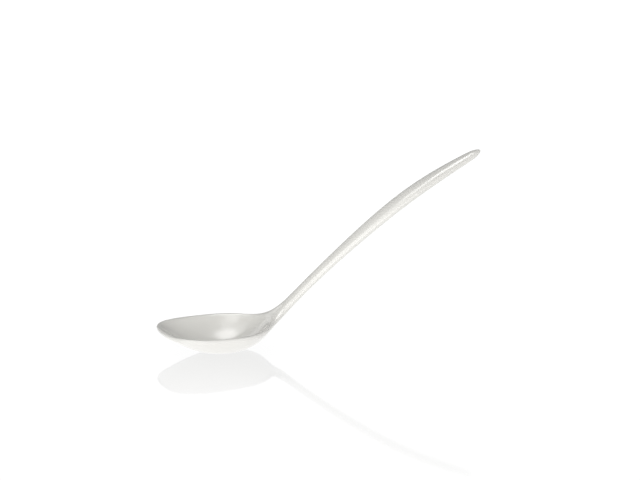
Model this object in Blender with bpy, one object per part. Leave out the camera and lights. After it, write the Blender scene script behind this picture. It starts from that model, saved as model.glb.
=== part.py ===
"""Serving spoon: an egg-shaped bowl and an arched handle, two solids that stand for one moulding.

Frame: +X runs along the spoon from the bowl to the end of the handle, +Y across it and +Z up.
The origin is the centre of the flat that the bowl stands on. Reaches are along X from there.
"""

import bmesh
import bpy
import numpy as np

MM = 0.001

# Outline of the bowl in plan: two curves, from the tip to the widest place and on to the neck
BOWL_TIP_REACH = 51.3 * MM
WIDEST_REACH = 4.7 * MM  # the widest place lies this far in front of the foot
BOWL_WIDTH = 70.7 * MM
TIP_FULLNESS = 0.68  # share of the half width that the curve leaves the tip by, straight across
FRONT_FULLNESS = 0.78  # share of the run to the tip that it keeps its full width for
BACK_FULLNESS = 0.60  # share of the run to the neck that it keeps its full width for
NECK_FULLNESS = 0.52  # share of the same run that it keeps the neck's width for

# Lip and cavity
LIP_RADIUS = 1.3 * MM
LAND_WIDTH = 3.2 * MM  # top of the lip, from the outline in to the edge of the cavity
LAND_FALL = 0.35  # slope of that top, down toward the cavity
CAVITY_HEEL_REACH = 37.0 * MM
CAVITY_BACK_FULLNESS = 0.68
CAVITY_HEEL_FULLNESS = 0.10
WALL_UNDER_CAVITY = 3.0 * MM

# Underside of the bowl
KEEL_HEEL_REACH = 44.2 * MM  # where the round underside would rise to the rim behind the foot
SIDE_POWER = 2.0  # how the underside rises across the spoon
FOOT_DEPTH = 0.58 * MM  # how much of the round underside the flat takes off

# Edge line in side view: height of the rim, then of the middle of the handle, at each reach
RIM_TIP_HEIGHT = 20.6 * MM
RIM_LOW_HEIGHT = 18.5 * MM
RIM_BACK_REACH = 24.0 * MM
RIM_BACK_HEIGHT = 18.8 * MM
RIM_HEEL_REACH = 42.0 * MM
RIM_HEEL_HEIGHT = 22.8 * MM
NECK_REACH = 58.0 * MM
NECK_HEIGHT = 34.7 * MM
ARCH_REACH = 100.0 * MM
ARCH_HEIGHT = 67.8 * MM
GRIP_REACH = 158.0 * MM
GRIP_HEIGHT = 106.4 * MM
HANDLE_REACH = 219.2 * MM
HANDLE_END_HEIGHT = 135.4 * MM

# Handle sections
NECK_WIDTH = 12.7 * MM
GRIP_WIDTH = 20.1 * MM
END_WIDTH = 9.1 * MM
NECK_THICKNESS = 5.5 * MM
GRIP_THICKNESS = 7.1 * MM
END_THICKNESS = 5.0 * MM
END_ROUND = 9.3 * MM
ROOT_FLARE = 6.4 * MM  # how much thicker the root is than the neck
ROOT_RUN = 44.0 * MM  # and the length over which it thins

# Where the bowl's form turns into the handle's, and where the two solids part
BLEND_RUN = 20.0 * MM
JOINT_STUB = 4.0 * MM  # from the heel of the underside to the joint
JOINT_GAP = 0.2 * MM
JOINT_REACH = KEEL_HEEL_REACH + JOINT_STUB

# Mesh density
JOINT_COLUMNS = 6
SIDE_COLUMNS = 58
CAVITY_RINGS = 11
HULL_RINGS = 11
LIP_STEPS = 4
HANDLE_SECTIONS = 40
SECTION_POINTS = 40


def natural_spline(reaches, heights):
    """Natural cubic spline through the given points, as a function of x."""
    xs = np.array(reaches)
    zs = np.array(heights)
    step = np.diff(xs)
    inner = np.arange(1, len(xs) - 1)
    system = np.eye(len(xs))
    system[inner, inner - 1] = step[:-1]
    system[inner, inner] = 2.0 * (step[:-1] + step[1:])
    system[inner, inner + 1] = step[1:]
    bend = np.zeros(len(xs))
    bend[1:-1] = 6.0 * np.diff(np.diff(zs) / step)
    bend = np.linalg.solve(system, bend)

    def height(x):
        k = np.clip(np.searchsorted(xs, x) - 1, 0, len(xs) - 2)
        before = x - xs[k]
        after = xs[k + 1] - x
        cubic = (bend[k] * after**3 + bend[k + 1] * before**3) / (6.0 * step[k])
        left = (zs[k] / step[k] - bend[k] * step[k] / 6.0) * after
        right = (zs[k + 1] / step[k] - bend[k + 1] * step[k] / 6.0) * before
        return cubic + left + right

    return height


def bezier(*corners):
    """Close-set points along a cubic Bezier curve with these four corners."""
    t = np.linspace(0.0, 1.0, 2001)[:, None]
    start, leave, arrive, end = np.array(corners)
    return start * (1 - t) ** 3 + 3 * leave * t * (1 - t) ** 2 + 3 * arrive * t**2 * (1 - t) + end * t**3


def plan_curve(land, heel, heel_half_width, back_fullness, heel_corner):
    """Half outline in plan, drawn in by a land, from the tip to a heel at the given reach."""
    half = 0.5 * BOWL_WIDTH - land
    tip = land - BOWL_TIP_REACH
    widest = -WIDEST_REACH
    across = (tip, TIP_FULLNESS * half)
    forward = (widest + FRONT_FULLNESS * (tip - widest), half)
    back = (widest + back_fullness * (heel - widest), half)
    front_curve = bezier((tip, 0.0), across, forward, (widest, half))
    back_curve = bezier((widest, half), back, heel_corner, (heel, heel_half_width))
    return np.concatenate([front_curve, back_curve[1:]]).T


edge_height = natural_spline(
    [
        -BOWL_TIP_REACH,
        0.0,
        RIM_BACK_REACH,
        RIM_HEEL_REACH,
        NECK_REACH,
        ARCH_REACH,
        GRIP_REACH,
        HANDLE_REACH,
    ],
    [
        RIM_TIP_HEIGHT,
        RIM_LOW_HEIGHT,
        RIM_BACK_HEIGHT,
        RIM_HEEL_HEIGHT,
        NECK_HEIGHT,
        ARCH_HEIGHT,
        GRIP_HEIGHT,
        HANDLE_END_HEIGHT,
    ],
)
rim_curve = plan_curve(
    land=0.0,
    heel=NECK_REACH,
    heel_half_width=0.5 * NECK_WIDTH,
    back_fullness=BACK_FULLNESS,
    heel_corner=(NECK_REACH - NECK_FULLNESS * (NECK_REACH + WIDEST_REACH), 0.5 * NECK_WIDTH),
)
cavity_curve = plan_curve(
    land=LAND_WIDTH,
    heel=CAVITY_HEEL_REACH,
    heel_half_width=0.0,
    back_fullness=CAVITY_BACK_FULLNESS,
    heel_corner=(CAVITY_HEEL_REACH, CAVITY_HEEL_FULLNESS * (0.5 * BOWL_WIDTH - LAND_WIDTH)),
)


def eased(share):
    """Smooth step from 0 to 1."""
    held = np.clip(share, 0.0, 1.0)
    return held * held * (3.0 - 2.0 * held)


def rounded(share):
    """Height of a quarter circle at a share of the way in from its edge."""
    return np.sqrt(1.0 - (1.0 - np.clip(share, 0.0, 1.0)) ** 2)


def along_handle(x, neck, grip, end):
    """Half of a handle size: least at the neck, most at the grip, rounded off at the end."""
    rise = eased((x - NECK_REACH) / (GRIP_REACH - NECK_REACH))
    fall = np.clip((x - GRIP_REACH) / (HANDLE_REACH - GRIP_REACH), 0.0, 1.0) ** 2
    end_share = np.clip((x - HANDLE_REACH + END_ROUND) / END_ROUND, 0.0, 1.0)
    return 0.5 * (neck + (grip - neck) * rise - (grip - end) * fall) * np.sqrt(1.0 - end_share**2)


def half_width(x):
    """Half width of the whole spoon in plan."""
    handle = along_handle(x, NECK_WIDTH, GRIP_WIDTH, END_WIDTH)
    return np.where(x < NECK_REACH, np.interp(x, *rim_curve), handle)


def side_share(x, y):
    """How far out a point lies: 0 on the centre line and 1 on the outline."""
    return np.clip(np.abs(y) / np.maximum(half_width(x), 0.001 * MM), 0.0, 1.0)


def handle_rise(x, y):
    """Upright half thickness of the handle's oval section at each point."""
    step = 0.01 * MM
    slope = (edge_height(x + step) - edge_height(x - step)) / (2.0 * step)
    square = along_handle(x, NECK_THICKNESS, GRIP_THICKNESS, END_THICKNESS)
    square = square + 0.5 * ROOT_FLARE * eased((NECK_REACH - x) / ROOT_RUN)
    return square * np.hypot(1.0, slope) * np.sqrt(1.0 - side_share(x, y) ** 2)


def blend(x):
    """0 in the bowl, 1 from the joint on."""
    return eased((x - JOINT_REACH + BLEND_RUN) / BLEND_RUN)


def dish_height(x, y):
    """Underside of the bowl before the lip is rounded and before the foot is cut flat."""
    skew = 1.0 / KEEL_HEEL_REACH - 1.0 / BOWL_TIP_REACH
    along = (1.0 + x / BOWL_TIP_REACH) * (1.0 - x / KEEL_HEEL_REACH) * (1.0 + skew * x)
    return (edge_height(x) - LIP_RADIUS) * (1.0 - along * (1.0 - side_share(x, y) ** SIDE_POWER))


def underside(x, y, inset):
    """Underside of the spoon, at points that lie an inset in from the outline."""
    rim = edge_height(x) - LIP_RADIUS
    foot_cut = np.clip((dish_height(x, y) - FOOT_DEPTH) / (rim - FOOT_DEPTH), 0.0, None) * rim
    bowl_drop = edge_height(x) - foot_cut - LIP_RADIUS * (1.0 - rounded(inset / LIP_RADIUS))
    return edge_height(x) - (1.0 - blend(x)) * bowl_drop - blend(x) * handle_rise(x, y)


def top_side(x, y, inset):
    """Top of the lip and of the neck, at points that lie an inset in from the outline."""
    fall = LAND_FALL * np.clip(inset - LIP_RADIUS, 0.0, LAND_WIDTH - LIP_RADIUS)
    lip = LIP_RADIUS * rounded(inset / LIP_RADIUS) - fall
    return edge_height(x) + (1.0 - blend(x)) * lip + blend(x) * handle_rise(x, y)


class BowlColumns:
    """Rays from the centre of the foot to points round the bowl's outline.

    The columns start at the middle of the joint face, run round by way of the tip, and come back.
    The first and last few end on the joint face, and the others on the rim.
    """

    def __init__(self):
        ahead = rim_curve[0] < JOINT_REACH
        corner = (JOINT_REACH, half_width(JOINT_REACH))
        curve = np.concatenate([rim_curve[:, ahead], np.reshape(corner, (2, 1))], axis=1)[:, ::-1]
        run = np.concatenate([[0.0], np.cumsum(np.hypot(*np.diff(curve)))])
        heading = np.gradient(curve, run, axis=1)
        stops = np.linspace(0.0, run[-1], SIDE_COLUMNS + 1)
        side = np.stack([np.interp(stops, run, part) for part in curve])
        side_heading = np.stack([np.interp(stops, run, part) for part in heading])
        joint_y = side[1, 0] * np.arange(JOINT_COLUMNS) / JOINT_COLUMNS
        joint = np.stack([np.full(JOINT_COLUMNS, JOINT_REACH), joint_y])
        half = np.concatenate([joint, side], axis=1)
        self.ends = np.concatenate([half, half[:, -2:0:-1] * [[1.0], [-1.0]]], axis=1)
        self.radius = np.hypot(*self.ends)
        self.ray = self.ends / self.radius
        turn = np.abs(side_heading[0] * side[1] - side_heading[1] * side[0]) / np.hypot(*side)
        straight = np.concatenate([np.ones(JOINT_COLUMNS), turn])
        self.straight = np.concatenate([straight, straight[-2:0:-1]])
        place = np.arange(len(self.radius))
        self.on_joint = np.minimum(place, len(place) - place) < JOINT_COLUMNS

    def points(self, radius):
        """x, y and the inset from the outline of the points at these radii."""
        x, y = self.ray * radius
        to_side = half_width(x) - np.abs(y)
        inset = np.where(self.on_joint, to_side, (self.radius - radius) * self.straight)
        return x, y, inset

    def cavity_radius(self):
        """Radius of the cavity's edge along each ray, inside the rim by the lip's thickness or more."""
        angle = np.arctan2(cavity_curve[1], cavity_curve[0])[::-1]
        wanted = np.abs(np.arctan2(self.ray[1], self.ray[0]))
        drawn = np.interp(wanted, angle, np.hypot(*cavity_curve)[::-1])
        return np.minimum(drawn, self.radius - 2.0 * LIP_RADIUS)

    def foot_radius(self):
        """Radius of the edge of the flat along each ray."""
        shares = np.linspace(0.0, 0.8, 800)
        x, y = self.ray[:, None, :] * (shares[:, None] * self.radius)
        found = [np.interp(FOOT_DEPTH, column, shares) for column in dish_height(x, y).T]
        return np.array(found) * self.radius


def bowl_rings(columns):
    """Rings of the bowl from the middle of the cavity over the lip and down to the foot.

    Returns:
        The rings of the top side, ending on the outline, and those of the underside, starting there.
    """
    cavity = columns.cavity_radius()
    lip_run = np.minimum(LIP_RADIUS / columns.straight, 0.6 * (columns.radius - cavity))
    lip_start = columns.radius - lip_run
    cavity_edge = top_side(*columns.points(cavity))
    top = []
    for share in np.arange(1, CAVITY_RINGS + 1) / CAVITY_RINGS:
        x, y, _ = columns.points(cavity * share)
        top.append((x, y, WALL_UNDER_CAVITY + (cavity_edge - WALL_UNDER_CAVITY) * share**2))
    for radius in (0.5 * (cavity + lip_start), lip_start):
        x, y, inset = columns.points(radius)
        top.append((x, y, top_side(x, y, inset)))
    under = []
    for angle in np.linspace(0.0, 0.5 * np.pi, LIP_STEPS + 1)[1:]:
        x, y, inset = columns.points(lip_start + lip_run * np.sin(angle))
        top.append((x, y, top_side(x, y, inset)))
        under.insert(0, (x, y, underside(x, y, inset)))
    foot = columns.foot_radius()
    for share in np.linspace(0.0, 1.0, HULL_RINGS + 1):
        x, y, inset = columns.points(lip_start + (foot - lip_start) * share)
        under.append((x, y, underside(x, y, inset)))
    return top, under


def ring_vertices(mesh, ring):
    """New vertices at the points of one ring."""
    return [mesh.verts.new(point) for point in zip(*ring)]


def bridge(mesh, first, second):
    """Faces between two rings, which may share vertices."""
    for k, corner in enumerate(first):
        loop = list(dict.fromkeys([first[k - 1], corner, second[k], second[k - 1]]))
        if len(loop) > 2:
            mesh.faces.new(loop)


def fan(mesh, ring, point):
    """Faces from a ring to one point."""
    middle = mesh.verts.new(point)
    for k, corner in enumerate(ring):
        mesh.faces.new([ring[k - 1], corner, middle])


def build_bowl():
    """The bowl: cavity, lip, underside and the stub of the neck, closed by the joint face."""
    columns = BowlColumns()
    top, under = bowl_rings(columns)
    mesh = bmesh.new()
    top_loops = [ring_vertices(mesh, ring) for ring in top]
    rim = top_loops[-1]
    low_rim = [
        mesh.verts.new(point) if on_joint else shared
        for point, on_joint, shared in zip(zip(*under[0]), columns.on_joint, rim)
    ]
    under_loops = [low_rim] + [ring_vertices(mesh, ring) for ring in under[1:]]
    fan(mesh, top_loops[0], (0.0, 0.0, WALL_UNDER_CAVITY))
    for loops in (top_loops, under_loops):
        for first, second in zip(loops, loops[1:]):
            bridge(mesh, first, second)
    mesh.faces.new(under_loops[-1])
    span = range(-JOINT_COLUMNS, JOINT_COLUMNS + 1)
    upper = [rim[k] for k in span]
    lower = [low_rim[k] for k in span]
    mesh.faces.new(list(dict.fromkeys(upper + lower[::-1])))
    return mesh


def build_handle():
    """The handle: oval sections along the edge line, from the joint to the rounded end."""
    start = JOINT_REACH + JOINT_GAP
    angle = 2.0 * np.pi * np.arange(SECTION_POINTS) / SECTION_POINTS
    mesh = bmesh.new()
    loops = []
    for share in np.sin(np.linspace(0.0, 0.5 * np.pi, HANDLE_SECTIONS + 1))[:-1]:
        x = np.full(SECTION_POINTS, start + (HANDLE_REACH - start) * share)
        y = half_width(x) * np.cos(angle)
        rise = handle_rise(x, np.zeros(SECTION_POINTS)) * np.sin(angle)
        loops.append(ring_vertices(mesh, (x, y, edge_height(x) + rise)))
    for first, second in zip(loops, loops[1:]):
        bridge(mesh, first, second)
    mesh.faces.new(loops[0])
    fan(mesh, loops[-1], (HANDLE_REACH, 0.0, HANDLE_END_HEIGHT))
    return mesh


def melamine():
    """Glossy warm white moulding material."""
    material = bpy.data.materials.new("white_melamine")
    material.use_nodes = True
    shader = material.node_tree.nodes["Principled BSDF"]
    shader.inputs["Base Color"].default_value = (0.80, 0.79, 0.75, 1.0)
    shader.inputs["Roughness"].default_value = 0.15
    return material


def add_node(name, mesh, material, collection):
    """Closes off a mesh as a named object of the collection."""
    bmesh.ops.recalc_face_normals(mesh, faces=mesh.faces)
    data = bpy.data.meshes.new(name)
    mesh.to_mesh(data)
    mesh.free()
    data.materials.append(material)
    collection.objects.link(bpy.data.objects.new(name, data))


for leftover in list(bpy.data.objects):
    bpy.data.objects.remove(leftover)
spoon = bpy.data.collections.new("serving_spoon")
bpy.context.scene.collection.children.link(spoon)
white = melamine()
add_node("bowl", build_bowl(), white, spoon)
add_node("handle", build_handle(), white, spoon)
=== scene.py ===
"""Serving spoon of glossy white melamine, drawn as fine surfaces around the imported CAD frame.

Everything is in the CAD's own frame, in metres: +X runs along the spoon from the bowl to the end of
the handle, +Y across it and +Z up, and the origin is the middle of the flat that the bowl stands on.
A reach is a place along X. The bowl and the handle are one moulding, so both pieces take their form
from the same curves, and they meet at the joint with the same points and the same normals.
"""

import logging
import math
from dataclasses import dataclass, field
from enum import Enum

import bpy
import numpy as np
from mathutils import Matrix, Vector
from numpy.typing import NDArray


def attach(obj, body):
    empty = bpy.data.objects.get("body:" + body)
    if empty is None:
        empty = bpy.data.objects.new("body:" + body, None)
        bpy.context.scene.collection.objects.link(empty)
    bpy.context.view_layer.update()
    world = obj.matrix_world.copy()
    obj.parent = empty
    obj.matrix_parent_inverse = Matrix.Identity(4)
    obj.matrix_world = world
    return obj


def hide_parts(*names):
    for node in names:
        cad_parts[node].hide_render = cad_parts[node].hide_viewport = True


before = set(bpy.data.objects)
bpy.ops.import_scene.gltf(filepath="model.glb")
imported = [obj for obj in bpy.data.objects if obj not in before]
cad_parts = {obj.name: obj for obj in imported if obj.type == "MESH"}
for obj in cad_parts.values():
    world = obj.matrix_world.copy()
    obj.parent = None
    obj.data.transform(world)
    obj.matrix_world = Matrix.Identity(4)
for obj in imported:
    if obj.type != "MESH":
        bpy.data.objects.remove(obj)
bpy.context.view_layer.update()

MM = 0.001
CURVE_POINTS = 4001
PHOTO_WIDTH = 640
SENSOR_WIDTH = 36.0
WEAR_ATTRIBUTE = "wear"

Grid = NDArray[np.float64]
Faces = NDArray[np.int64]
Colour = tuple[float, float, float, float]

log = logging.getLogger("serving_spoon")


class Face(Enum):
    """Which side of the handle's oval section a point is on."""

    TOP = 1.0
    UNDER = -1.0


def eased(share: Grid) -> Grid:
    """Smooth step: 3 s squared less 2 s cubed, with s held between 0 and 1."""
    held = np.clip(share, 0.0, 1.0)
    return held * held * (3.0 - 2.0 * held)


def rounded(share: Grid) -> Grid:
    """Height of a quarter circle at a share of the way in from its edge."""
    return np.sqrt(1.0 - (1.0 - np.clip(share, 0.0, 1.0)) ** 2)


def soft_lesser(first: Grid, second: Grid, reach: float) -> Grid:
    """The lesser of two heights, filleted where they differ by less than the reach.

    The formula is the lesser one, less the square of what is left of the reach over four reaches.

    Args:
        first: Heights of one surface.
        second: Heights of the other surface at the same points.
        reach: Difference in height at which the fillet starts.

    Returns:
        Heights of the filleted surface.
    """
    left = np.clip(reach - np.abs(first - second), 0.0, None)
    return np.minimum(first, second) - left**2 / (4.0 * reach)


def bezier(corners: list[tuple[float, float]]) -> Grid:
    """Points of a cubic Bezier curve: its four corners weighted by the cubic Bernstein terms.

    Args:
        corners: Start, leaving corner, arriving corner and end, as points in plan.

    Returns:
        Close-set points along the curve, one row each.
    """
    t = np.linspace(0.0, 1.0, CURVE_POINTS)[:, None]
    start, leave, arrive, end = np.array(corners)
    return start * (1 - t) ** 3 + 3 * leave * t * (1 - t) ** 2 + 3 * arrive * t**2 * (1 - t) + end * t**3


@dataclass
class EdgeLine:
    """Side view of the spoon: height of the rim, then of the middle of the handle, at each reach."""

    stations: list[tuple[float, float]]
    bend: Grid = field(init=False)

    def __post_init__(self) -> None:
        """Solves the bends of the natural cubic spline through the stations."""
        x, z = np.array(self.stations).T
        step = np.diff(x)
        inner = np.arange(1, len(x) - 1)
        system = np.eye(len(x))
        system[inner, inner - 1] = step[:-1]
        system[inner, inner] = 2.0 * (step[:-1] + step[1:])
        system[inner, inner + 1] = step[1:]
        change = np.zeros(len(x))
        change[1:-1] = 6.0 * np.diff(np.diff(z) / step)
        self.bend = np.linalg.solve(system, change)

    def height(self, reach: Grid) -> Grid:
        """Height of the line: between two stations, a cubic with the bends of both.

        Args:
            reach: Places along the spoon.

        Returns:
            Height of the line at each of them.
        """
        x, z = np.array(self.stations).T
        k = np.clip(np.searchsorted(x, reach) - 1, 0, len(x) - 2)
        step = x[k + 1] - x[k]
        before, after = reach - x[k], x[k + 1] - reach
        cubic = (self.bend[k] * after**3 + self.bend[k + 1] * before**3) / (6.0 * step)
        left = (z[k] / step - self.bend[k] * step / 6.0) * after
        right = (z[k + 1] / step - self.bend[k + 1] * step / 6.0) * before
        return cubic + left + right

    def slope(self, reach: Grid) -> Grid:
        """Slope of the line, as the rise over a very short run about each reach."""
        run = 0.01 * MM
        return (self.height(reach + run) - self.height(reach - run)) / (2.0 * run)


@dataclass
class SpoonForm:
    """Sizes that the bowl and the handle share, and the curves that follow from them."""

    bowl_tip_reach: float = 51.3 * MM
    widest_reach: float = 4.7 * MM
    bowl_width: float = 70.7 * MM
    tip_fullness: float = 0.68
    front_fullness: float = 0.78
    back_fullness: float = 0.60
    neck_fullness: float = 0.52
    neck_reach: float = 58.0 * MM
    grip_reach: float = 158.0 * MM
    handle_reach: float = 219.2 * MM
    neck_width: float = 12.7 * MM
    grip_width: float = 20.1 * MM
    end_width: float = 9.1 * MM
    neck_thickness: float = 5.5 * MM
    grip_thickness: float = 7.1 * MM
    end_thickness: float = 5.0 * MM
    end_round: float = 9.3 * MM
    tip_height: float = 20.6 * MM
    middle_height: float = 18.5 * MM
    back_reach: float = 24.0 * MM
    back_height: float = 18.8 * MM
    root_reach: float = 42.0 * MM
    root_height: float = 22.8 * MM
    neck_height: float = 34.7 * MM
    shank_reach: float = 100.0 * MM
    shank_height: float = 67.8 * MM
    grip_height: float = 106.4 * MM
    end_height: float = 135.4 * MM
    root_flare: float = 6.4 * MM
    root_run: float = 44.0 * MM
    joint_reach: float = 48.2 * MM
    joint_half_columns: int = 24
    least_half_width: float = 0.001 * MM
    edge: EdgeLine = field(init=False)
    rim: Grid = field(init=False)

    def __post_init__(self) -> None:
        """Draws the edge line in side view and the half outline of the rim in plan."""
        self.edge = EdgeLine(
            [
                (-self.bowl_tip_reach, self.tip_height),
                (0.0, self.middle_height),
                (self.back_reach, self.back_height),
                (self.root_reach, self.root_height),
                (self.neck_reach, self.neck_height),
                (self.shank_reach, self.shank_height),
                (self.grip_reach, self.grip_height),
                (self.handle_reach, self.end_height),
            ]
        )
        neck_half = 0.5 * self.neck_width
        neck_corner = self.neck_reach - self.neck_fullness * (self.neck_reach + self.widest_reach)
        self.rim = self.plan_curve(
            0.0, (self.neck_reach, neck_half), self.back_fullness, (neck_corner, neck_half)
        )

    def plan_curve(
        self,
        land: float,
        heel: tuple[float, float],
        back_fullness: float,
        heel_corner: tuple[float, float],
    ) -> Grid:
        """Half outline in plan: one Bezier curve from the tip to the widest place, one on to a heel.

        Args:
            land: How far the curve is drawn in from the rim.
            heel: Place where the second curve ends.
            back_fullness: Share of the run to the heel that it keeps its full width for.
            heel_corner: Corner by which the second curve comes to the heel.

        Returns:
            The curve's x and y, as two rows.
        """
        half = 0.5 * self.bowl_width - land
        tip, widest = land - self.bowl_tip_reach, -self.widest_reach
        across = (tip, self.tip_fullness * half)
        forward = (widest + self.front_fullness * (tip - widest), half)
        back = (widest + back_fullness * (heel[0] - widest), half)
        front_curve = bezier([(tip, 0.0), across, forward, (widest, half)])
        back_curve = bezier([(widest, half), back, heel_corner, heel])
        return np.concatenate([front_curve, back_curve[1:]]).T

    def along_handle(self, x: Grid, neck: float, grip: float, end: float) -> Grid:
        """Half of a handle size: eased from neck to grip, less a square fall, rounded at the end.

        Args:
            x: Reaches along the handle.
            neck: The full size at the neck.
            grip: The full size at the grip.
            end: The full size that the square fall goes down to at the end.

        Returns:
            Half of the size at each reach.
        """
        rise = eased((x - self.neck_reach) / (self.grip_reach - self.neck_reach))
        fall = np.clip((x - self.grip_reach) / (self.handle_reach - self.grip_reach), 0.0, 1.0) ** 2
        end_share = np.clip((x - self.handle_reach + self.end_round) / self.end_round, 0.0, 1.0)
        return 0.5 * (neck + (grip - neck) * rise - (grip - end) * fall) * np.sqrt(1.0 - end_share**2)

    def half_width(self, x: Grid) -> Grid:
        """Half width of the spoon in plan: the rim up to the neck, then the handle."""
        handle = self.along_handle(x, self.neck_width, self.grip_width, self.end_width)
        return np.where(x < self.neck_reach, np.interp(x, *self.rim), handle)

    def side_share(self, x: Grid, y: Grid) -> Grid:
        """How far out a point lies: 0 on the centre line and 1 on the outline."""
        return np.clip(np.abs(y) / np.maximum(self.half_width(x), self.least_half_width), 0.0, 1.0)

    def section_rise(self, x: Grid) -> Grid:
        """Upright half thickness at the middle of the handle's oval section, flared at the root.

        Args:
            x: Reaches along the handle and its root.

        Returns:
            Half thickness straight up: the one square to the line, times the length of a sloped unit.
        """
        square = self.along_handle(x, self.neck_thickness, self.grip_thickness, self.end_thickness)
        square = square + 0.5 * self.root_flare * eased((self.neck_reach - x) / self.root_run)
        return square * np.hypot(1.0, self.edge.slope(x))

    def joint_angles(self, face: Face) -> Grid:
        """Angles of the joint's oval from its +Y edge over one face to its -Y edge."""
        return face.value * np.linspace(0.0, math.pi, 2 * self.joint_half_columns + 1)


def weighted_normals(points: Grid, faces: Faces) -> Grid:
    """Sum of the area vectors of the quads round each point: the cross product of their diagonals.

    Args:
        points: Points of a surface, one row each.
        faces: Quads as rows of four indices, a triangle repeating its last one.

    Returns:
        One unscaled normal for each point.
    """
    corner = points[faces]
    area = np.cross(corner[:, 2] - corner[:, 0], corner[:, 3] - corner[:, 1])
    normals = np.zeros_like(points)
    for k in range(4):
        np.add.at(normals, faces[:, k], area)
    return normals


@dataclass
class Skin:
    """A closed surface as points and quads, with the loop of points on the joint between the pieces."""

    points: Grid
    faces: Faces
    cap: Faces
    joint_loop: Faces
    wear: Grid

    def normals(self) -> Grid:
        """Unscaled normals of the outer faces, without the cap on the joint."""
        return weighted_normals(self.points, self.faces)


def share_joint_normals(first: Skin, second: Skin) -> tuple[Grid, Grid]:
    """Normals of two skins, made the same along the joint where they meet.

    Args:
        first: Skin of one piece.
        second: Skin of the other piece, with its joint loop in the same order.

    Returns:
        The normals of both, one row for each point.
    """
    one, two = first.normals(), second.normals()
    shared = one[first.joint_loop] + two[second.joint_loop]
    one[first.joint_loop] = shared
    two[second.joint_loop] = shared
    return tuple(n / np.linalg.norm(n, axis=1, keepdims=True) for n in (one, two))


def mesh_piece(name: str, skin: Skin, normals: Grid, material: bpy.types.Material) -> bpy.types.Object:
    """Puts a skin into a mesh object at the origin, with its normals, wear and material.

    Args:
        name: Name of the piece.
        skin: Surface of the piece.
        normals: Normal of each point.
        material: Finish of the piece.

    Returns:
        The new object, in the scene.
    """
    quads = np.concatenate([skin.faces, skin.cap])
    whole = quads[:, 2] != quads[:, 3]
    rows = quads[whole].tolist() + quads[~whole, :3].tolist()
    mesh = bpy.data.meshes.new(name)
    mesh.from_pydata(skin.points.tolist(), [], rows)
    mesh.polygons.foreach_set("use_smooth", np.ones(len(rows), dtype=bool))
    wear = mesh.attributes.new(WEAR_ATTRIBUTE, "FLOAT", "POINT")
    wear.data.foreach_set("value", skin.wear.astype(np.float32))
    mesh.materials.append(material)
    mesh.update()
    mesh.normals_split_custom_set_from_vertices(normals.tolist())
    piece = bpy.data.objects.new(name, mesh)
    bpy.context.scene.collection.objects.link(piece)
    return piece


def strip(first: Faces, second: Faces, ring: bool = True) -> Faces:
    """Quads between two rows of points, facing to the left of the way from the first to the second.

    Args:
        first: Indices of one row.
        second: Indices of the next row, as many.
        ring: Whether the rows close on themselves.

    Returns:
        Rows of four indices; where two corners are one point, the last two are the same.
    """
    quads = np.stack([first, second, np.roll(second, -1), np.roll(first, -1)], axis=1)
    quads = quads if ring else quads[:-1]
    pole = quads[:, 0] == quads[:, 3]
    quads[pole] = quads[pole][:, [0, 1, 2, 2]]
    tip = (quads[:, 1] == quads[:, 2]) & ~pole
    quads[tip] = quads[tip][:, [3, 0, 1, 1]]
    start = (quads[:, 0] == quads[:, 1]) & ~pole & ~tip
    quads[start] = quads[start][:, [1, 2, 3, 3]]
    return quads


def tidy_indices(
    faces: Faces, cap: Faces, loop: Faces, points: Grid
) -> tuple[Faces, Faces, Faces, Grid]:
    """Drops quads that have shrunk to a line, and points that nothing uses.

    Args:
        faces: Quads of the outer surface.
        cap: Quads of the joint face.
        loop: Points round the joint face.
        points: All points, one row each.

    Returns:
        The same four with the points numbered afresh.
    """
    corners = np.sort(faces, axis=1)
    faces = faces[(np.diff(corners, axis=1) != 0).sum(axis=1) >= 2]
    used = np.unique(np.concatenate([faces.ravel(), cap.ravel()]))
    place = np.zeros(len(points), dtype=np.int64)
    place[used] = np.arange(len(used))
    return place[faces], place[cap], place[loop], points[used]


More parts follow.
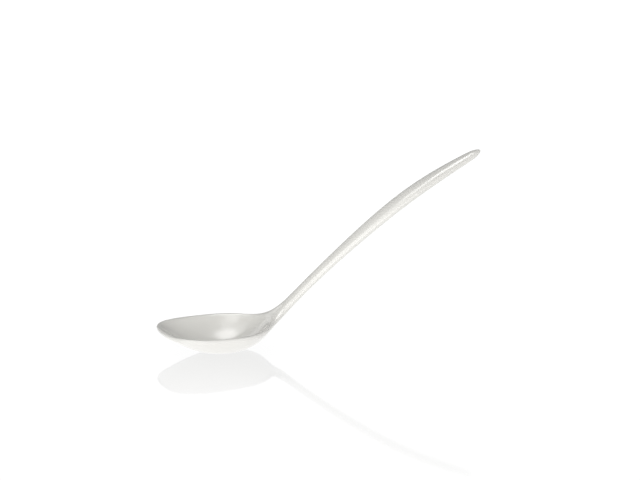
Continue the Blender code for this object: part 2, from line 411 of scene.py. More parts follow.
@dataclass
class BowlColumns:
    """Rays from the middle of the foot, which end on the joint face and all round the rim.

    The first column ends in the middle of the joint face. They run round by way of +Y and the tip.
    """

    ends: Grid
    straight: Grid
    on_joint: NDArray[np.bool_]
    form: SpoonForm

    @classmethod
    def around(cls, form: SpoonForm, side_columns: int) -> "BowlColumns":
        """Spaces the columns by the joint's oval on its face and by length along the rim.

        Args:
            form: Shape of the spoon.
            side_columns: Number of steps along each half of the rim.

        Returns:
            The columns.
        """
        ahead = form.rim[0] < form.joint_reach
        corner = np.array([[form.joint_reach], [float(form.half_width(np.array(form.joint_reach)))]])
        curve = np.concatenate([form.rim[:, ahead], corner], axis=1)[:, ::-1]
        run = np.concatenate([[0.0], np.cumsum(np.hypot(*np.diff(curve)))])
        heading = np.gradient(curve, run, axis=1)
        stops = np.linspace(0.0, run[-1], side_columns + 1)
        side = np.stack([np.interp(stops, run, part) for part in curve])
        bearing = np.stack([np.interp(stops, run, part) for part in heading])
        half = form.joint_half_columns
        joint_y = corner[1] * np.cos(form.joint_angles(Face.TOP)[half:0:-1])
        joint = np.stack([np.full(half, form.joint_reach), joint_y])
        one_side = np.concatenate([joint, side], axis=1)
        ends = np.concatenate([one_side, one_side[:, -2:0:-1] * [[1.0], [-1.0]]], axis=1)
        across = np.abs(bearing[0] * side[1] - bearing[1] * side[0]) / np.hypot(*side)
        straight = np.concatenate([np.ones(half), across])
        place = np.arange(ends.shape[1])
        on_joint = np.minimum(place, len(place) - place) < half
        return cls(ends, np.concatenate([straight, straight[-2:0:-1]]), on_joint, form)

    @property
    def radius(self) -> Grid:
        """Length of each ray."""
        return np.hypot(*self.ends)

    @property
    def ray(self) -> Grid:
        """Direction of each ray in plan."""
        return self.ends / self.radius

    def points(self, radius: Grid) -> tuple[Grid, Grid, Grid]:
        """Places of the points at these radii, ring by ring.

        Args:
            radius: Radii of the points along the rays.

        Returns:
            x, y and how far in from the outline each point lies.
        """
        x, y = self.ray[0] * radius, self.ray[1] * radius
        to_side = self.form.half_width(x) - np.abs(y)
        return x, y, np.where(self.on_joint, to_side, (self.radius - radius) * self.straight)


@dataclass
class Bowl:
    """The bowl: cavity, lip, round underside with its small flat, and the root of the handle."""

    form: SpoonForm
    lip_radius: float = 1.3 * MM
    land_width: float = 3.2 * MM
    land_fall: float = 0.10
    cavity_heel_reach: float = 36.0 * MM
    cavity_back_fullness: float = 0.76
    cavity_heel_fullness: float = 0.20
    cavity_fillet: float = 1.2 * MM
    wall_under_cavity: float = 3.0 * MM
    keel_heel_reach: float = 44.2 * MM
    side_power: float = 2.0
    foot_depth: float = 0.58 * MM
    foot_search: float = 0.8
    foot_steps: int = 1600
    lip_share: float = 0.6
    worn_lip_radii: float = 2.2
    worn_foot_depths: float = 2.0
    blend_run: float = 20.0 * MM
    side_columns: int = 250
    cavity_rings: int = 56
    land_rings: int = 10
    lip_rings: int = 10
    hull_rings: int = 52
    foot_rings: int = 6

    def blend(self, x: Grid) -> Grid:
        """Share of the handle's form in the bowl's: a smooth step from 0 in the bowl to 1 at the joint."""
        return eased((x - self.form.joint_reach + self.blend_run) / self.blend_run)

    def oval_rise(self, x: Grid, y: Grid) -> Grid:
        """Upright half thickness of the oval: the middle one times the root of 1 less the share squared."""
        return self.form.section_rise(x) * np.sqrt(1.0 - self.form.side_share(x, y) ** 2)

    def dish_height(self, x: Grid, y: Grid) -> Grid:
        """Round underside: the lip's height less a cubic keel along X times a power curve across.

        Args:
            x: Reaches of the points.
            y: Places across.

        Returns:
            Heights of the points, before the foot is cut flat.
        """
        tip, heel = self.form.bowl_tip_reach, self.keel_heel_reach
        skew = 1.0 / heel - 1.0 / tip
        along = (1.0 + x / tip) * (1.0 - x / heel) * (1.0 + skew * x)
        across = 1.0 - self.form.side_share(x, y) ** self.side_power
        return (self.form.edge.height(x) - self.lip_radius) * (1.0 - along * across)

    def underside(self, x: Grid, y: Grid, inset: Grid) -> Grid:
        """Underside: the round dish with its foot cut flat and its lip rounded, blended to the oval.

        Args:
            x: Reaches of the points.
            y: Places across.
            inset: How far in from the outline the points lie.

        Returns:
            Heights of the points.
        """
        edge = self.form.edge.height(x)
        rim = edge - self.lip_radius
        above_foot = np.clip((self.dish_height(x, y) - self.foot_depth) / (rim - self.foot_depth), 0.0, None)
        drop = edge - above_foot * rim - self.lip_radius * (1.0 - rounded(inset / self.lip_radius))
        blend = self.blend(x)
        return edge - (1.0 - blend) * drop - blend * self.oval_rise(x, y)

    def lip_top(self, x: Grid, y: Grid, inset: Grid) -> Grid:
        """Top of the lip and of the neck: a rounded edge and a falling land, blended to the oval.

        Args:
            x: Reaches of the points.
            y: Places across.
            inset: How far in from the outline the points lie.

        Returns:
            Heights of the points.
        """
        fall = self.land_fall * np.clip(inset - self.lip_radius, 0.0, self.land_width - self.lip_radius)
        lip = self.lip_radius * rounded(inset / self.lip_radius) - fall
        blend = self.blend(x)
        return self.form.edge.height(x) + (1.0 - blend) * lip + blend * self.oval_rise(x, y)

    def columns(self) -> BowlColumns:
        """Rays from the middle of the foot to the joint face and round the rim."""
        return BowlColumns.around(self.form, self.side_columns)

    def cavity_radius(self, columns: BowlColumns) -> Grid:
        """Radius of the cavity's edge along each ray, from its own curve in plan.

        Args:
            columns: Rays of the bowl.

        Returns:
            One radius for each ray.
        """
        half = 0.5 * self.form.bowl_width - self.land_width
        corner = (self.cavity_heel_reach, self.cavity_heel_fullness * half)
        heel = (self.cavity_heel_reach, 0.0)
        curve = self.form.plan_curve(self.land_width, heel, self.cavity_back_fullness, corner)
        angle = np.arctan2(curve[1], curve[0])[::-1]
        wanted = np.abs(np.arctan2(columns.ray[1], columns.ray[0]))
        return np.interp(wanted, angle, np.hypot(*curve)[::-1])

    def foot_radius(self, columns: BowlColumns) -> Grid:
        """Radius along each ray at which the round underside meets the flat.

        Args:
            columns: Rays of the bowl.

        Returns:
            One radius for each ray, the first of close-set ones that lies above the foot.
        """
        shares = np.linspace(0.0, self.foot_search, self.foot_steps)
        x, y = columns.ray[:, None, :] * (shares[:, None] * columns.radius)
        over = np.argmax(self.dish_height(x, y) > self.foot_depth, axis=0)
        return shares[over] * columns.radius

    def top_heights(self, columns: BowlColumns, radius: Grid) -> tuple[Grid, Grid, Grid]:
        """Top side: the cavity's parabola along each ray, filleted into the land of the lip.

        Args:
            columns: Rays of the bowl.
            radius: Radii of the points, one row for each ring.

        Returns:
            x, y and height of the points.
        """
        cavity = self.cavity_radius(columns)
        brink = self.lip_top(*columns.points(cavity))
        run = 0.05 * MM
        brink_slope = (self.lip_top(*columns.points(cavity + run)) - brink) / run
        x, y, inset = columns.points(radius)
        base = self.wall_under_cavity
        dish = base + (brink - base) * (radius / cavity) ** 2
        land = np.where(
            radius < cavity, brink + brink_slope * (radius - cavity), self.lip_top(x, y, inset)
        )
        return x, y, soft_lesser(dish, land, self.cavity_fillet)

    def skin(self) -> Skin:
        """Rings from the middle of the cavity over the lip and down to the middle of the foot.

        Returns:
            The bowl's closed surface.
        """
        columns = self.columns()
        cavity, foot, outline = self.cavity_radius(columns), self.foot_radius(columns), columns.radius
        lip_run = np.minimum(self.lip_radius / columns.straight, self.lip_share * (outline - cavity))
        lip_start = outline - lip_run
        turn = np.sin(np.linspace(0.0, 0.5 * np.pi, self.lip_rings + 1))[1:, None]
        into_cavity = np.linspace(0.0, 1.0, self.cavity_rings + 1)[1:, None]
        over_land = np.linspace(0.0, 1.0, self.land_rings + 1)[1:, None]
        under_hull = np.linspace(0.0, 1.0, self.hull_rings + 1)[:, None]
        over_foot = np.linspace(1.0, 0.0, self.foot_rings + 1)[1:-1, None]
        lip = lip_start + lip_run * turn
        top = np.concatenate([cavity * into_cavity, cavity + (lip_start - cavity) * over_land, lip])
        under = np.concatenate([lip[::-1], lip_start + (foot - lip_start) * under_hull, foot * over_foot])
        top_points = np.stack(self.top_heights(columns, top), axis=-1)
        x, y, inset = columns.points(under)
        under_points = np.stack([x, y, self.underside(x, y, inset)], axis=-1)
        return self.closed(columns, top_points, under_points)

    def closed(self, columns: BowlColumns, top: Grid, under: Grid) -> Skin:
        """Joins the rings of both sides along the rim and closes the two poles and the joint face.

        Args:
            columns: Rays of the bowl.
            top: Points of the top side, ring by ring, ending on the outline.
            under: Points of the underside, ring by ring, starting on the outline.

        Returns:
            The closed surface.
        """
        count = len(columns.radius)
        poles = np.array([[0.0, 0.0, self.wall_under_cavity], [0.0, 0.0, 0.0]])
        points = np.concatenate([top.reshape(-1, 3), under.reshape(-1, 3), poles])
        upper = np.arange(len(top) * count).reshape(len(top), count)
        lower = len(top) * count + np.arange(len(under) * count).reshape(len(under), count)
        lower[0, ~columns.on_joint] = upper[-1, ~columns.on_joint]
        cavity_pole, foot_pole = len(points) - 2, len(points) - 1
        faces = [strip(np.full(count, cavity_pole), upper[0])]
        faces += [strip(a, b) for loops in (upper, lower) for a, b in zip(loops, loops[1:])]
        faces += [strip(lower[-1], np.full(count, foot_pole))]
        half = self.form.joint_half_columns
        across = np.arange(-half, half + 1)
        cap = strip(upper[-1, across], lower[0, across], ring=False)
        loop = np.concatenate([upper[-1, across][::-1], lower[0, across][1:-1]])
        faces, cap, loop, points = tidy_indices(np.concatenate(faces), cap, loop, points)
        return Skin(points, faces, cap, loop, self.wear(points))

    def wear(self, points: Grid) -> Grid:
        """Where use has dulled the gloss: the crest of the lip and the flat that it stands on.

        Args:
            points: Points of the bowl, one row each.

        Returns:
            Wear of each point: fading inward from the outline, and upward from the foot.
        """
        x, y, z = points.T
        to_side = self.form.half_width(x) - np.abs(y)
        near_rim = np.clip(1.0 - to_side / (self.worn_lip_radii * self.lip_radius), 0.0, 1.0)
        ahead = 1.0 - self.blend(x)
        foot = np.clip(1.0 - z / (self.worn_foot_depths * self.foot_depth), 0.0, 1.0)
        return np.clip(near_rim * ahead + foot, 0.0, 1.0)


@dataclass
class Handle:
    """The handle: oval sections along the edge line, from the joint to the rounded end."""

    form: SpoonForm
    shank_sections: int = 300
    end_sections: int = 24
    worn_edge: float = 0.85
    end_wear: float = 0.6
    edge_wear: float = 0.4

    def reaches(self) -> Grid:
        """Reach of each section: even along the shank, then even in angle round the end.

        Returns:
            The reaches, from the joint on.
        """
        start, stop = self.form.joint_reach, self.form.handle_reach - self.form.end_round
        shank = np.linspace(start, stop, self.shank_sections + 1)
        turn = np.linspace(0.0, 0.5 * np.pi, self.end_sections + 1)[1:-1]
        return np.concatenate([shank, stop + self.form.end_round * np.sin(turn)])

    def skin(self) -> Skin:
        """Ovals: half width times a cosine across, and the half thickness times a sine up and down.

        Returns:
            The handle's closed surface.
        """
        form = self.form
        x = self.reaches()[:, None]
        over, below = form.joint_angles(Face.TOP), form.joint_angles(Face.UNDER)
        angle = np.concatenate([over, below[-2:0:-1]])
        y = form.half_width(x) * np.cos(angle)
        z = form.edge.height(x) + form.section_rise(x) * np.sin(angle)
        sections = np.stack(np.broadcast_arrays(x, y, z), axis=-1)
        end = [[form.handle_reach, 0.0, float(form.edge.height(np.array(form.handle_reach)))]]
        points = np.concatenate([sections.reshape(-1, 3), end])
        count = len(angle)
        loops = np.arange(len(x) * count).reshape(len(x), count)
        faces = [strip(b, a) for a, b in zip(loops, loops[1:])]
        faces.append(strip(np.full(count, len(points) - 1), loops[-1]))
        joint = loops[0]
        top, bottom = joint[: len(over)], np.roll(joint[::-1], 1)[: len(over)]
        cap = strip(top, bottom, ring=False)
        return Skin(points, np.concatenate(faces), cap, joint, self.wear(points))

    def wear(self, points: Grid) -> Grid:
        """Where hands and drawers have dulled the gloss: the rounded end and the edges of the grip.

        Args:
            points: Points of the handle, one row each.

        Returns:
            Wear of each point: growing toward the end, and outward near the two edges.
        """
        form = self.form
        x, y, _ = points.T
        end = np.clip((x - form.handle_reach + form.end_round) / form.end_round, 0.0, 1.0)
        edge = np.clip((form.side_share(x, y) - self.worn_edge) / (1.0 - self.worn_edge), 0.0, 1.0)
        grip = eased((x - form.neck_reach) / (form.grip_reach - form.neck_reach))
        return np.clip(self.end_wear * end + self.edge_wear * edge * grip, 0.0, 1.0)


@dataclass(frozen=True)
class Melamine:
    """Glossy warm white moulding: faint clouding in the colour, a soft ripple, and duller worn edges."""

    name: str = "white_melamine"
    colour: Colour = (0.790, 0.781, 0.743, 1.0)
    cloud_colour: Colour = (0.768, 0.759, 0.721, 1.0)
    worn_colour: Colour = (0.806, 0.798, 0.768, 1.0)
    cloud_scale: float = 38.0
    cloud_detail: float = 3.0
    fleck_scale: float = 1400.0
    fleck_detail: float = 2.0
    ripple_scale: float = 210.0
    ripple_detail: float = 1.0
    ripple_height: float = 0.004 * MM
    gloss_detail: float = 2.0
    gloss_low: float = 0.08
    gloss_high: float = 0.12
    worn_roughness: float = 0.22
    ior: float = 1.60

    def material(self) -> bpy.types.Material:
        """Builds the node material.

        Returns:
            The material.
        """
        made = bpy.data.materials.new(self.name)
        made.use_nodes = True
        tree = made.node_tree
        shader = tree.nodes["Principled BSDF"]
        shader.inputs["IOR"].default_value = self.ior
        place = tree.nodes.new("ShaderNodeTexCoord").outputs["Object"]
        worn = tree.nodes.new("ShaderNodeAttribute")
        worn.attribute_name = WEAR_ATTRIBUTE
        fleck = self.noise(tree, place, self.fleck_scale, self.fleck_detail)
        scuffed = tree.nodes.new("ShaderNodeMath")
        scuffed.operation = "MULTIPLY"
        tree.links.new(worn.outputs["Fac"], scuffed.inputs[0])
        tree.links.new(fleck, scuffed.inputs[1])
        self.colouring(tree, place, scuffed.outputs[0], shader)
        self.gloss(tree, place, scuffed.outputs[0], shader)
        ripple = tree.nodes.new("ShaderNodeBump")
        ripple.inputs["Strength"].default_value = 1.0
        ripple.inputs["Distance"].default_value = self.ripple_height
        waves = self.noise(tree, place, self.ripple_scale, self.ripple_detail)
        tree.links.new(waves, ripple.inputs["Height"])
        tree.links.new(ripple.outputs["Normal"], shader.inputs["Normal"])
        return made

    def noise(
        self, tree: bpy.types.NodeTree, place: bpy.types.NodeSocket, scale: float, detail: float
    ) -> bpy.types.NodeSocket:
        """A noise texture on object coordinates.

        Args:
            tree: Nodes of the material.
            place: Socket with the object coordinates.
            scale: Cells to the metre.
            detail: Finer layers laid over the cells.

        Returns:
            Socket with the noise.
        """
        texture = tree.nodes.new("ShaderNodeTexNoise")
        texture.inputs["Scale"].default_value = scale
        texture.inputs["Detail"].default_value = detail
        tree.links.new(place, texture.inputs["Vector"])
        return texture.outputs["Fac"]

    def mixed(
        self, tree: bpy.types.NodeTree, share: bpy.types.NodeSocket, first: Colour, second: Colour
    ) -> bpy.types.Node:
        """A colour mix from the first colour to the second by a share.

        Args:
            tree: Nodes of the material.
            share: Socket with the share of the second colour.
            first: Colour where the share is 0.
            second: Colour where the share is 1.

        Returns:
            The mixing node.
        """
        mix = tree.nodes.new("ShaderNodeMix")
        mix.data_type = "RGBA"
        mix.inputs["A"].default_value = first
        mix.inputs["B"].default_value = second
        tree.links.new(share, mix.inputs["Factor"])
        return mix

    def colouring(
        self,
        tree: bpy.types.NodeTree,
        place: bpy.types.NodeSocket,
        scuffed: bpy.types.NodeSocket,
        shader: bpy.types.Node,
    ) -> None:
        """Base colour: two close whites in soft clouds, a little paler where the surface is scuffed.

        Args:
            tree: Nodes of the material.
            place: Socket with the object coordinates.
            scuffed: Socket with how far the surface is scuffed.
            shader: Shader of the material.
        """
        cloud = self.noise(tree, place, self.cloud_scale, self.cloud_detail)
        body = self.mixed(tree, cloud, self.colour, self.cloud_colour)
        edge = self.mixed(tree, scuffed, self.colour, self.worn_colour)
        tree.links.new(body.outputs["Result"], edge.inputs["A"])
        tree.links.new(edge.outputs["Result"], shader.inputs["Base Color"])

    def gloss(
        self,
        tree: bpy.types.NodeTree,
        place: bpy.types.NodeSocket,
        scuffed: bpy.types.NodeSocket,
        shader: bpy.types.Node,
    ) -> None:
        """Roughness: between two glosses by a broad noise, rising to a worn one by the scuffing.

        Args:
            tree: Nodes of the material.
            place: Socket with the object coordinates.
            scuffed: Socket with how far the surface is scuffed.
            shader: Shader of the material.
        """
        spread = tree.nodes.new("ShaderNodeMapRange")
        spread.inputs["To Min"].default_value = self.gloss_low
        spread.inputs["To Max"].default_value = self.gloss_high
        broad = self.noise(tree, place, self.cloud_scale, self.gloss_detail)
        tree.links.new(broad, spread.inputs["Value"])
        worn = tree.nodes.new("ShaderNodeMix")
        worn.inputs["B"].default_value = self.worn_roughness
        tree.links.new(scuffed, worn.inputs["Factor"])
        tree.links.new(spread.outputs["Result"], worn.inputs["A"])
        tree.links.new(worn.outputs["Result"], shader.inputs["Roughness"])


def glowing_material(name: str) -> bpy.types.Material:
    """A material without any node yet, whose glow is met by rays but never picked as a lamp.

    Args:
        name: Name of the material.

    Returns:
        The material.
    """
    made = bpy.data.materials.new(name)
    made.cycles.emission_sampling = "NONE"
    made.use_nodes = True
    made.node_tree.nodes.clear()
    return made


def fading_glow(
    tree: bpy.types.NodeTree, core: float, radius: float, inner: float, outer: float
) -> bpy.types.NodeSocket:
    """A white glow whose level is a smooth step of the distance from the object's origin.

    Args:
        tree: Nodes of the material.
        core: Distance up to which the inner level holds.
        radius: Distance from which on the outer level holds.
        inner: Level within the core.
        outer: Level beyond the radius.

    Returns:
        Socket with the glow.
    """
    place = tree.nodes.new("ShaderNodeTexCoord")
    away = tree.nodes.new("ShaderNodeVectorMath")
    away.operation = "LENGTH"
    tree.links.new(place.outputs["Object"], away.inputs[0])
    level = tree.nodes.new("ShaderNodeMapRange")
    level.interpolation_type = "SMOOTHSTEP"
    level.inputs["From Min"].default_value = core
    level.inputs["From Max"].default_value = radius
    level.inputs["To Min"].default_value = inner
    level.inputs["To Max"].default_value = outer
    tree.links.new(away.outputs["Value"], level.inputs["Value"])
    glow = tree.nodes.new("ShaderNodeEmission")
    tree.links.new(level.outputs["Result"], glow.inputs["Strength"])
    return glow.outputs["Emission"]


@dataclass(frozen=True)
class LightTable:
    """The floor: a pale glowing table top under clear gloss, which the spoon is mirrored in; its glow is
    dimmed round the foot as a painted shadow.
    """

    name: str = "light_table"
    half_size: float = 9.0
    # Glow at the foot, lower than far off: painted shadow round the spoon
    foot_painted_shadow_glow: float = 0.915
    far_glow: float = 1.01
    far_radius: float = 125.0 * MM
    ior: float = 1.6
    roughness: float = 0.07

    def build(self) -> bpy.types.Object:
        """Makes the table as one flat sheet at the height of the foot.

        Returns:
            The floor object.
        """
        side = np.array([-self.half_size, self.half_size])
        x, y = np.meshgrid(side, side)
        points = np.stack([x.ravel(), y.ravel(), np.zeros(4)], axis=1)
        mesh = bpy.data.meshes.new(self.name)
        mesh.from_pydata(points.tolist(), [], [(0, 1, 3, 2)])
        mesh.materials.append(self.material())
        table = bpy.data.objects.new(self.name, mesh)
        bpy.context.scene.collection.objects.link(table)
        return table

    def material(self) -> bpy.types.Material:
        """A white glow under a slightly blurred gloss, which grows as it is seen more from the side. The
        glow is dimmer near the foot: a painted shadow.

        Returns:
            The material.
        """
        made = glowing_material(self.name)
        tree = made.node_tree
        # The glow fades down from far off to the foot: painted shadow round the spoon
        glow = fading_glow(tree, 0.0, self.far_radius, self.foot_painted_shadow_glow, self.far_glow)
        gloss = tree.nodes.new("ShaderNodeBsdfGlossy")
        gloss.inputs["Roughness"].default_value = self.roughness
        share = tree.nodes.new("ShaderNodeFresnel")
        share.inputs["IOR"].default_value = self.ior
        mix = tree.nodes.new("ShaderNodeMixShader")
        tree.links.new(share.outputs["Fac"], mix.inputs["Fac"])
        tree.links.new(glow, mix.inputs[1])
        tree.links.new(gloss.outputs["BSDF"], mix.inputs[2])
        output = tree.nodes.new("ShaderNodeOutputMaterial")
        tree.links.new(mix.outputs["Shader"], output.inputs["Surface"])
        return made


def direction(turn: float, rise: float) -> Vector:
    """Unit vector toward a place in the studio.

    Args:
        turn: Angle from +X toward +Y, in degrees.
        rise: Height above the horizon, in degrees.

    Returns:
        The vector.
    """
    across, up = math.radians(turn), math.radians(rise)
    return Vector((math.cos(up) * math.cos(across), math.cos(up) * math.sin(across), math.sin(up)))


def aimed_object(name: str, data: bpy.types.ID, place: Vector, back: Vector) -> bpy.types.Object:
    """Puts a light, a disc or the camera into the scene, out of the camera's own sight.

    Args:
        name: Name of the object.
        data: What the object shows or does.
        place: Where it is.
        back: Direction opposite to the one that it is aimed along.

    Returns:
        The object.
    """
    made = bpy.data.objects.new(name, data)
    made.location = place
    made.rotation_mode = "QUATERNION"
    made.rotation_quaternion = back.to_track_quat("Z", "Y")
    made.visible_camera = False
    bpy.context.scene.collection.objects.link(made)
    return made


def link_light(light: bpy.types.Object, receivers: list[bpy.types.Object]) -> None:
    """Lets a light reach only some objects.

    Args:
        light: The light, in the scene.
        receivers: Objects that it reaches.
    """
    linked = bpy.data.collections.new(light.name)
    for receiver in receivers:
        linked.objects.link(receiver)
    light.light_linking.receiver_collection = linked


@dataclass(frozen=True)
class SoftPanel:
    """A round soft light far off in the studio, full within its core and fading out to its reach.

    Its turn goes from +X toward +Y and its rise is the height above the horizon, all in degrees.
    """

    name: str
    turn: float
    rise: float
    core: float
    reach: float
    radiance: float

    def light(self, tree: bpy.types.NodeTree, place: bpy.types.NodeSocket) -> bpy.types.NodeSocket:
        """The panel's radiance along each direction: a smooth step on the cosine of the angle to it.

        Args:
            tree: Nodes of the world.
            place: Socket with the direction looked along.

        Returns:
            Socket with the radiance.
        """
        cosine = tree.nodes.new("ShaderNodeVectorMath")
        cosine.operation = "DOT_PRODUCT"
        cosine.inputs[1].default_value = direction(self.turn, self.rise)
        tree.links.new(place, cosine.inputs[0])
        fade = tree.nodes.new("ShaderNodeMapRange")
        fade.name = self.name
        fade.interpolation_type = "SMOOTHSTEP"
        fade.inputs["From Min"].default_value = math.cos(math.radians(self.reach))
        fade.inputs["From Max"].default_value = math.cos(math.radians(self.core))
        fade.inputs["To Max"].default_value = self.radiance
        tree.links.new(cosine.outputs["Value"], fade.inputs["Value"])
        return fade.outputs["Result"]


@dataclass(frozen=True)
class SoftLamp:
    """A large soft lamp far off, which lights the spoon without showing in its gloss.

    Its turn goes from +X toward +Y, its rise is the height above the horizon, and its spread is the
    angle that it fills, all in degrees.
    """

    name: str
    turn: float
    rise: float
    spread: float
    irradiance: float

    def build(self) -> bpy.types.Object:
        """Makes the lamp as a sun with a wide disc.

        Returns:
            The light.
        """
        data = bpy.data.lights.new(self.name, "SUN")
        data.angle = math.radians(self.spread)
        data.energy = self.irradiance
        lamp = aimed_object(self.name, data, Vector(), direction(self.turn, self.rise))
        lamp.visible_glossy = False
        log.info("%s lamp: %.2f over %.0f degrees", self.name, self.irradiance, self.spread)
        return lamp


@dataclass(frozen=True)
class AimedSpot:
    """A narrow lamp aimed at one place on the spoon, with a beam that fades from its middle outward.

    Its turn goes from +X toward +Y and its rise is the height above the horizon, both in degrees and
    as seen from the place that it is aimed at. The radius of its lens is a share of its distance.
    """

    name: str
    aim: tuple[float, float, float]
    turn: float
    rise: float
    distance: float
    width: float
    fade: float
    power: float
    lens: float = 0.04

    def build(self) -> bpy.types.Object:
        """Makes the lamp as a spot whose beam is as wide as its width at the aim.

        Returns:
            The light.
        """
        data = bpy.data.lights.new(self.name, "SPOT")
        data.spot_size = 2.0 * math.atan2(0.5 * self.width, self.distance)
        data.spot_blend = self.fade
        data.shadow_soft_size = self.lens * self.distance
        data.energy = self.power
        back = direction(self.turn, self.rise)
        lamp = aimed_object(self.name, data, Vector(self.aim) + back * self.distance, back)
        lamp.visible_glossy = False
        log.info("%s: %.1f W over %.2f m", self.name, self.power, self.width)
        return lamp


@dataclass(frozen=True)
class SoftBox:
    """A round soft light near the spoon, full within its core and fading out to its radius.

    Only the gloss shows it.
    """

    name: str
    centre: tuple[float, float, float]
    core: float
    radius: float
    radiance: float
    corners: int = 48

    def build(self, receivers: list[bpy.types.Object]) -> bpy.types.Object:
        """Makes the box as a disc that faces the bowl and that only reflections see.

        Args:
            receivers: Objects whose gloss shows it.

        Returns:
            The disc.
        """
        turn = np.linspace(0.0, 2.0 * np.pi, self.corners, endpoint=False)
        points = self.radius * np.stack([np.cos(turn), np.sin(turn), np.zeros_like(turn)], axis=1)
        mesh = bpy.data.meshes.new(self.name)
        mesh.from_pydata(points.tolist(), [], [tuple(range(self.corners))])
        mesh.materials.append(self.material())
        box = aimed_object(self.name, mesh, Vector(self.centre), Vector(self.centre))
        box.visible_diffuse = False
        box.visible_shadow = False
        link_light(box, receivers)
        log.info("%s: %.2f within %.3f m", self.name, self.radiance, self.core)
        return box

    def material(self) -> bpy.types.Material:
        """A see-through glow that fades from the core to the radius.

        Returns:
            The material.
        """
        made = glowing_material(self.name)
        tree = made.node_tree
        glow = fading_glow(tree, self.core, self.radius, self.radiance, 0.0)
        see_through = tree.nodes.new("ShaderNodeBsdfTransparent")
        both = tree.nodes.new("ShaderNodeAddShader")
        tree.links.new(glow, both.inputs[0])
        tree.links.new(see_through.outputs["BSDF"], both.inputs[1])
        output = tree.nodes.new("ShaderNodeOutputMaterial")
        tree.links.new(both.outputs["Shader"], output.inputs["Surface"])
        return made


@dataclass(frozen=True)
class StudioRoom:
    """What the gloss sees round the table: even dim walls with soft panels of light.

    It lights nothing else, and rays find it by themselves, so it isn't picked as a lamp.
    """

    panels: tuple[SoftPanel, ...]
    colour: Colour = (1.0, 1.0, 1.0, 1.0)
    walls: float = 0.33

    def build(self) -> None:
        """Sets the world to the light of the walls and the sum of all panels."""
        world = bpy.data.worlds.new("studio_room")
        world.use_nodes = True
        tree = world.node_tree
        sky = tree.nodes["Background"]
        sky.inputs["Color"].default_value = self.colour
        place = tree.nodes.new("ShaderNodeTexCoord").outputs["Generated"]
        total = None
        for panel in self.panels:
            add = tree.nodes.new("ShaderNodeMath")
            add.operation = "ADD"
            add.inputs[0].default_value = self.walls
            tree.links.new(panel.light(tree, place), add.inputs[1])
            if total:
                tree.links.new(total, add.inputs[0])
            total = add.outputs["Value"]
            log.info("%s: %.2f in a core of %.0f degrees", panel.name, panel.radiance, panel.core)
        tree.links.new(total, sky.inputs["Strength"])
        world.cycles_visibility.diffuse = False
        world.cycles.sampling_method = "NONE"
        bpy.context.scene.world = world


@dataclass(frozen=True)
class PhotoCamera:
    """The photograph's viewpoint: to the left of straight on and a little above the spoon."""

    name: str = "photo_camera"
    turn: float = math.radians(25.252)
    rise: float = math.radians(14.726)
    distance: float = 1.74368
    focal_pixels: float = 2272.9
    aim: tuple[float, float, float] = (80.26 * MM, 0.25 * MM, 78.07 * MM)

    def build(self) -> bpy.types.Object:
        """Makes the scene's camera.

        Returns:
            The camera object.
        """
        data = bpy.data.cameras.new(self.name)
        data.sensor_width = SENSOR_WIDTH
        data.lens = self.focal_pixels / PHOTO_WIDTH * SENSOR_WIDTH
        flat = math.cos(self.rise)
        back = Vector((-math.sin(self.turn) * flat, -math.cos(self.turn) * flat, math.sin(self.rise)))
        camera = aimed_object(self.name, data, Vector(self.aim) + back * self.distance, back)
        bpy.context.scene.camera = camera
        return camera


@dataclass(frozen=True)
class SheetLight:
    """A broad flat light in the studio, which reaches only the objects that are linked to it."""

    name: str
    centre: tuple[float, float, float]
    facing: tuple[float, float, float]
    width: float
    height: float
    radiance: float

    def build(self, receivers: list[bpy.types.Object]) -> bpy.types.Object:
        """Makes the sheet as an area light that the camera doesn't see.

        Args:
            receivers: Objects that it lights.

        Returns:
            The light.
        """
        data = bpy.data.lights.new(self.name, "AREA")
        data.shape = "RECTANGLE"
        data.size, data.size_y = self.width, self.height
        data.energy = self.radiance * math.pi * self.width * self.height
        light = aimed_object(self.name, data, Vector(self.centre), -Vector(self.facing))
        link_light(light, receivers)
        log.info("%s: %.2f over %.1f by %.1f m", self.name, self.radiance, self.width, self.height)
        return light


# Light that only the table mirrors, and light from the table up onto the spoon
BACKDROP = SheetLight(
    "backdrop",
    centre=(2.11, 4.53, 2.0),
    facing=(-0.4226, -0.9063, 0.0),
    width=7.0,
    height=4.0,
    radiance=1.2,
)
TABLE_FILL = SheetLight(
    "table_fill",
    centre=(0.0, 0.0, 0.2 * MM),
    facing=(0.0, 0.0, 1.0),
    width=0.36,
    height=0.36,
    radiance=0.16,
)
# Light on the neck and the handle, past the bowl
HANDLE_SPOT = AimedSpot(
    "handle_spot",
    aim=(108.0 * MM, 0.0, 72.0 * MM),
    turn=170.0,
    rise=40.0,
    distance=1.0,
    width=0.21,
    fade=0.55,
    power=7.0,
)
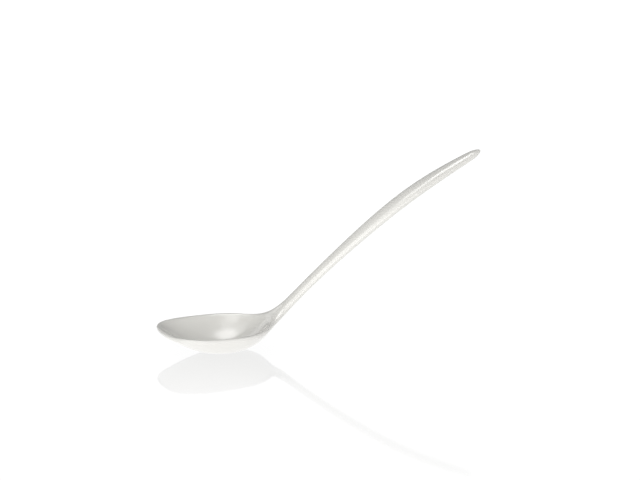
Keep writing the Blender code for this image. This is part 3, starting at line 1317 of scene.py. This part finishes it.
# What shows in the gloss: near boxes for both pieces, for the bowl and for the handle, then far panels
SHARED_BOXES = (
    SoftBox("box_to_left", centre=(-0.063, -0.013, 0.408), core=0.050, radius=0.145, radiance=1.4),
)
BOWL_BOXES = (
    SoftBox("box_over_bowl", centre=(0.038, 0.128, 0.408), core=0.050, radius=0.160, radiance=4.5),
    SoftBox("box_behind", centre=(-0.080, 0.170, 0.408), core=0.040, radius=0.120, radiance=1.2),
    SoftBox("box_low_behind", centre=(-0.135, 1.100, 0.469), core=0.126, radius=0.320, radiance=0.75),
)
HANDLE_BOXES = (
    SoftBox("box_over_neck", centre=(-0.120, 0.125, 0.408), core=0.030, radius=0.130, radiance=2.7),
    SoftBox("box_over_shank", centre=(0.020, 0.120, 0.408), core=0.030, radius=0.120, radiance=1.3),
    SoftBox("box_over_grip", centre=(0.110, 0.195, 0.420), core=0.020, radius=0.075, radiance=2.8),
    SoftBox("box_by_handle", centre=(0.200, 0.240, 0.450), core=0.025, radius=0.085, radiance=4.2),
    SoftBox("box_over_end", centre=(0.228, 0.142, 0.408), core=0.020, radius=0.070, radiance=3.2),
)
STUDIO_PANELS = (
    SoftPanel("left_strip", turn=-145.0, rise=52.0, core=10.0, reach=28.0, radiance=2.0),
    SoftPanel("front", turn=-130.0, rise=5.0, core=18.0, reach=42.0, radiance=1.2),
)
# What lights the spoon all round without showing in its gloss
STUDIO_LAMPS = (
    SoftLamp("low_front", turn=-122.0, rise=4.0, spread=60.0, irradiance=1.6),
    SoftLamp("front", turn=-120.0, rise=30.0, spread=60.0, irradiance=0.75),
    SoftLamp("overhead", turn=-50.0, rise=75.0, spread=60.0, irradiance=0.8),
    SoftLamp("dome", turn=0.0, rise=90.0, spread=179.0, irradiance=0.61),
)


def mount(piece: bpy.types.Object, node: str) -> None:
    """Lets a piece ride on the spoon's one body and stand for its CAD node.

    Args:
        piece: The drawn piece.
        node: CAD node that it stands for.
    """
    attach(piece, "root")
    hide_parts(node)
    log.info("%s: %d faces stand for CAD node %s", piece.name, len(piece.data.polygons), node)


def main() -> None:
    """Builds the spoon, then the table, the light and the camera."""
    logging.basicConfig(level=logging.INFO, format="%(name)s: %(message)s")
    form = SpoonForm()
    finish = Melamine()
    material = finish.material()
    bowl_skin, handle_skin = Bowl(form).skin(), Handle(form).skin()
    bowl_normals, handle_normals = share_joint_normals(bowl_skin, handle_skin)
    bowl = mesh_piece("spoon_bowl", bowl_skin, bowl_normals, material)
    handle = mesh_piece("spoon_handle", handle_skin, handle_normals, material)
    mount(bowl, "bowl")
    mount(handle, "handle")
    table = LightTable().build()
    BACKDROP.build([table])
    TABLE_FILL.build([bowl, handle])
    HANDLE_SPOT.build()
    StudioRoom(STUDIO_PANELS).build()
    for boxes, lit in ((SHARED_BOXES, [bowl, handle]), (BOWL_BOXES, [bowl]), (HANDLE_BOXES, [handle])):
        for box in boxes:
            box.build(lit)
    for lamp in STUDIO_LAMPS:
        lamp.build()
    PhotoCamera().build()
    bpy.context.scene.view_settings.view_transform = "Standard"


if __name__ == "__main__":
    main()
